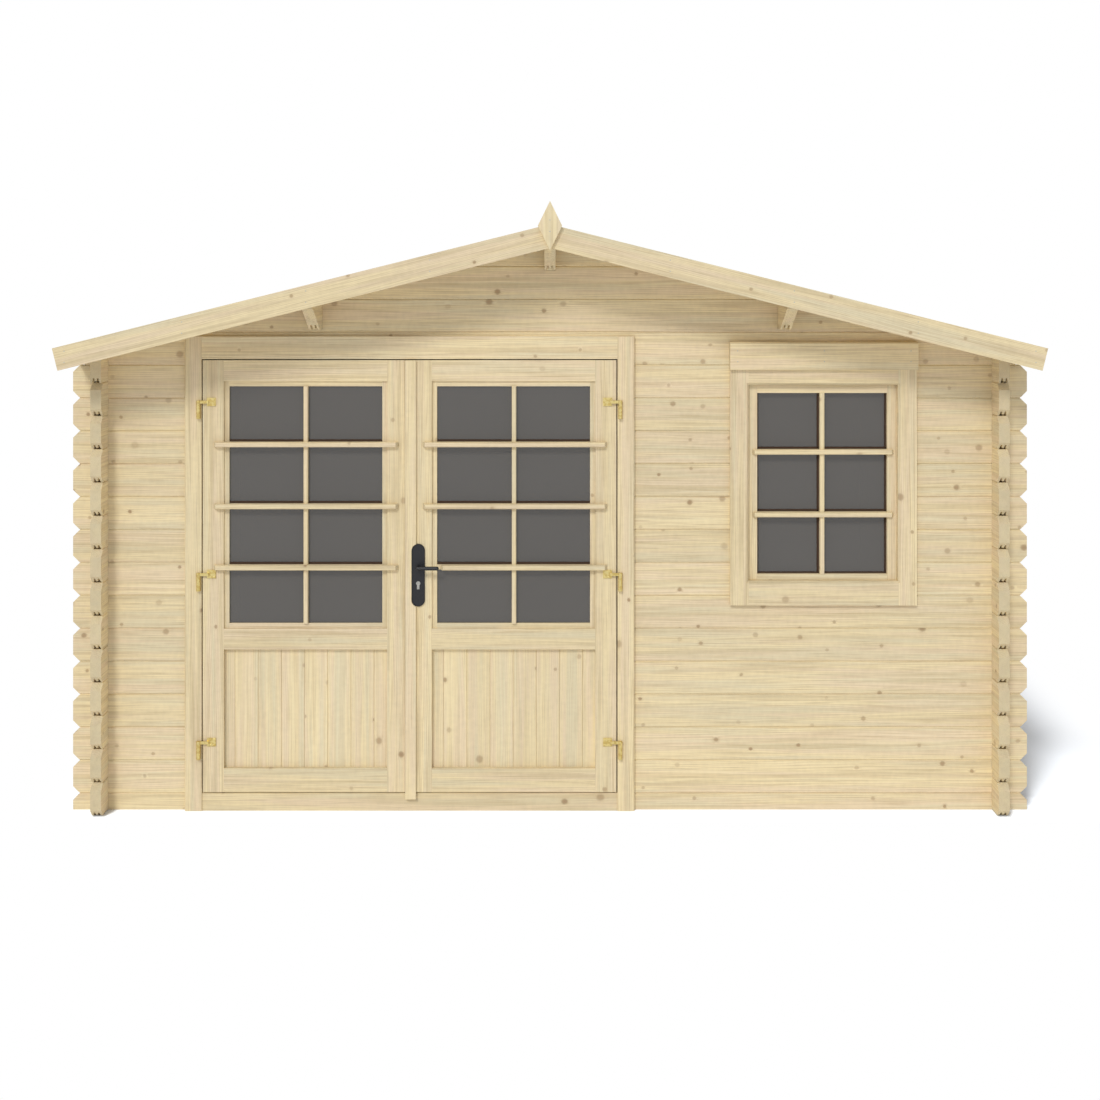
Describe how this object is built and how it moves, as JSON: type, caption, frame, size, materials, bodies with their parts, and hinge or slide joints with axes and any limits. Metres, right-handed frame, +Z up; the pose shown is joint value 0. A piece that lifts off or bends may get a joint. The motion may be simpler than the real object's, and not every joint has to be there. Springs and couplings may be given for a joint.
{
  "type": "wooden garden shed",
  "caption": "Log garden cabin with a low felted gable roof, half-glazed double doors that open outwards and one barred window",
  "frame": {"origin": "on the ground, under the middle of the building's box", "axes": "+X along the front to the right, +Y from the front into the building, +Z up"},
  "size_m": [3.91, 3.326, 2.4795],
  "materials": {
    "spruce_logs": "planed, untreated",
    "spruce_trim": "planed, untreated",
    "roof_boards": "planed, untreated",
    "floor_boards": "planed, untreated",
    "rough_spruce": "sawn",
    "roofing_felt": "mineral-surfaced",
    "window_panes": "clear",
    "brass_plated": "yellow-passivated steel",
    "black_metal": "satin black",
    "nickel_lock": "satin nickel"
  },
  "bodies": {
    "shed": {"floor_joists": "rough_spruce", "floor_deck": "floor_boards", "front_sill_log": "spruce_logs", "front_wall_left": "spruce_logs", "front_wall_middle": "spruce_logs", "front_wall_right": "spruce_logs", "front_wall_under_window": "spruce_logs", "door_lintel_log": "spruce_logs", "front_gable": "spruce_logs", "back_wall": "spruce_logs", "back_gable": "spruce_logs", "left_wall": "spruce_logs", "right_wall": "spruce_logs", "ridge_purlin": "spruce_logs", "side_purlins": "spruce_logs", "roof_deck_left": "roof_boards", "roof_deck_right": "roof_boards", "roofing_felt": "roofing_felt", "bargeboards_front": "spruce_trim", "bargeboards_back": "spruce_trim", "finial_front": "spruce_trim", "finial_back": "spruce_trim", "eaves_battens": "spruce_trim", "door_jambs": "spruce_trim", "door_head": "spruce_trim", "door_threshold": "spruce_trim", "hinge_pins": "brass_plated", "window_frame": "spruce_trim", "window_lintel_board": "spruce_trim", "window_sash": "spruce_trim", "window_glass": "window_panes"},
    "left_door": {"left_door_stiles": "spruce_trim", "left_door_rails": "spruce_trim", "left_door_panel": "spruce_trim", "left_door_glass": "window_panes", "left_door_straps": "brass_plated"},
    "right_door": {"right_door_stiles": "spruce_trim", "right_door_rails": "spruce_trim", "right_door_panel": "spruce_trim", "right_door_glass": "window_panes", "right_door_straps": "brass_plated", "astragal": "spruce_trim", "lock_plates": "black_metal", "lock_cylinder": "nickel_lock"},
    "lever": {"lever_handle": "black_metal"}
  },
  "joints": [
    {"name": "left_door_swing", "type": "hinge", "parent": "shed", "child": "left_door", "pos_m": [-1.435, -1.3855, 0.9], "axis": [0, 0, -1], "range_deg": [0, 135]},
    {"name": "right_door_swing", "type": "hinge", "parent": "shed", "child": "right_door", "pos_m": [0.287, -1.3855, 0.9], "axis": [0, 0, 1], "range_deg": [0, 135]},
    {"name": "lever_turn", "type": "hinge", "parent": "right_door", "child": "lever", "pos_m": [-0.5377, -1.405, 1], "axis": [0, 1, 0], "range_deg": [0, 40], "stiffness_Nm_per_rad": 1.5, "springref_deg": -20.05}
  ]
}
